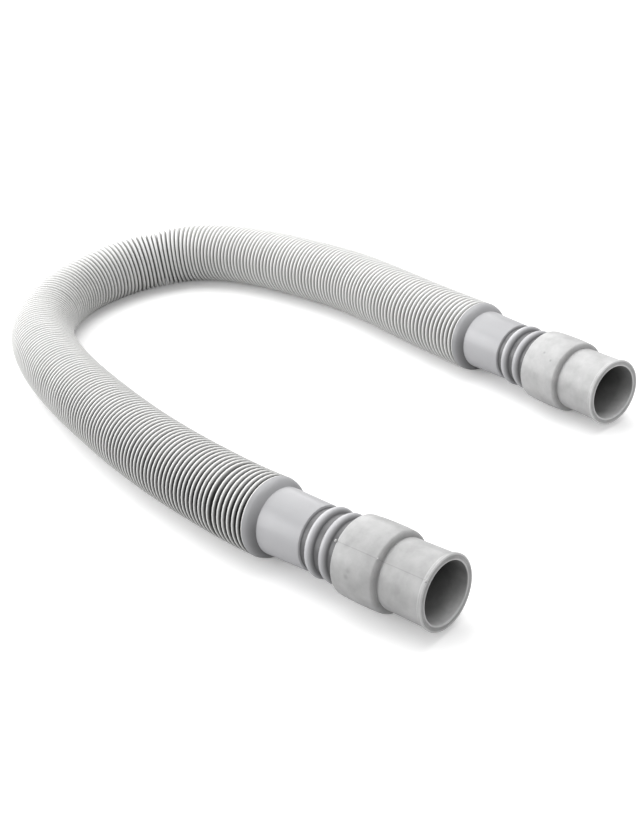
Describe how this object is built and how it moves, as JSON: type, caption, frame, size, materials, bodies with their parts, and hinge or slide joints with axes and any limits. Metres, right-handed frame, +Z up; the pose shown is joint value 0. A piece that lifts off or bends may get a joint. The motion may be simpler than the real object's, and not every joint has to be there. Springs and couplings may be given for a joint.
{
  "type": "extendable drain hose",
  "caption": "Extendable corrugated drain hose, folded up short in a hairpin, with a soft push-on cuff at each end for a washing machine outlet and a waste pipe.",
  "frame": {"origin": "on the surface that the hose lies on, under the middle of the whole hose's box", "axes": "+Z up; both mouths face -Y within about 6 degrees, and the hairpin's bend is at +Y"},
  "size_m": [0.1966, 0.3682, 0.032],
  "materials": {
    "hose": "glossy pale grey blown polypropylene",
    "cuff": "matte mid grey soft moulded plastic, slightly mottled"
  },
  "bodies": {
    "root": {"hose_body": "hose", "inlet_cuff": "cuff", "outlet_cuff": "cuff"}
  },
  "joints": []
}
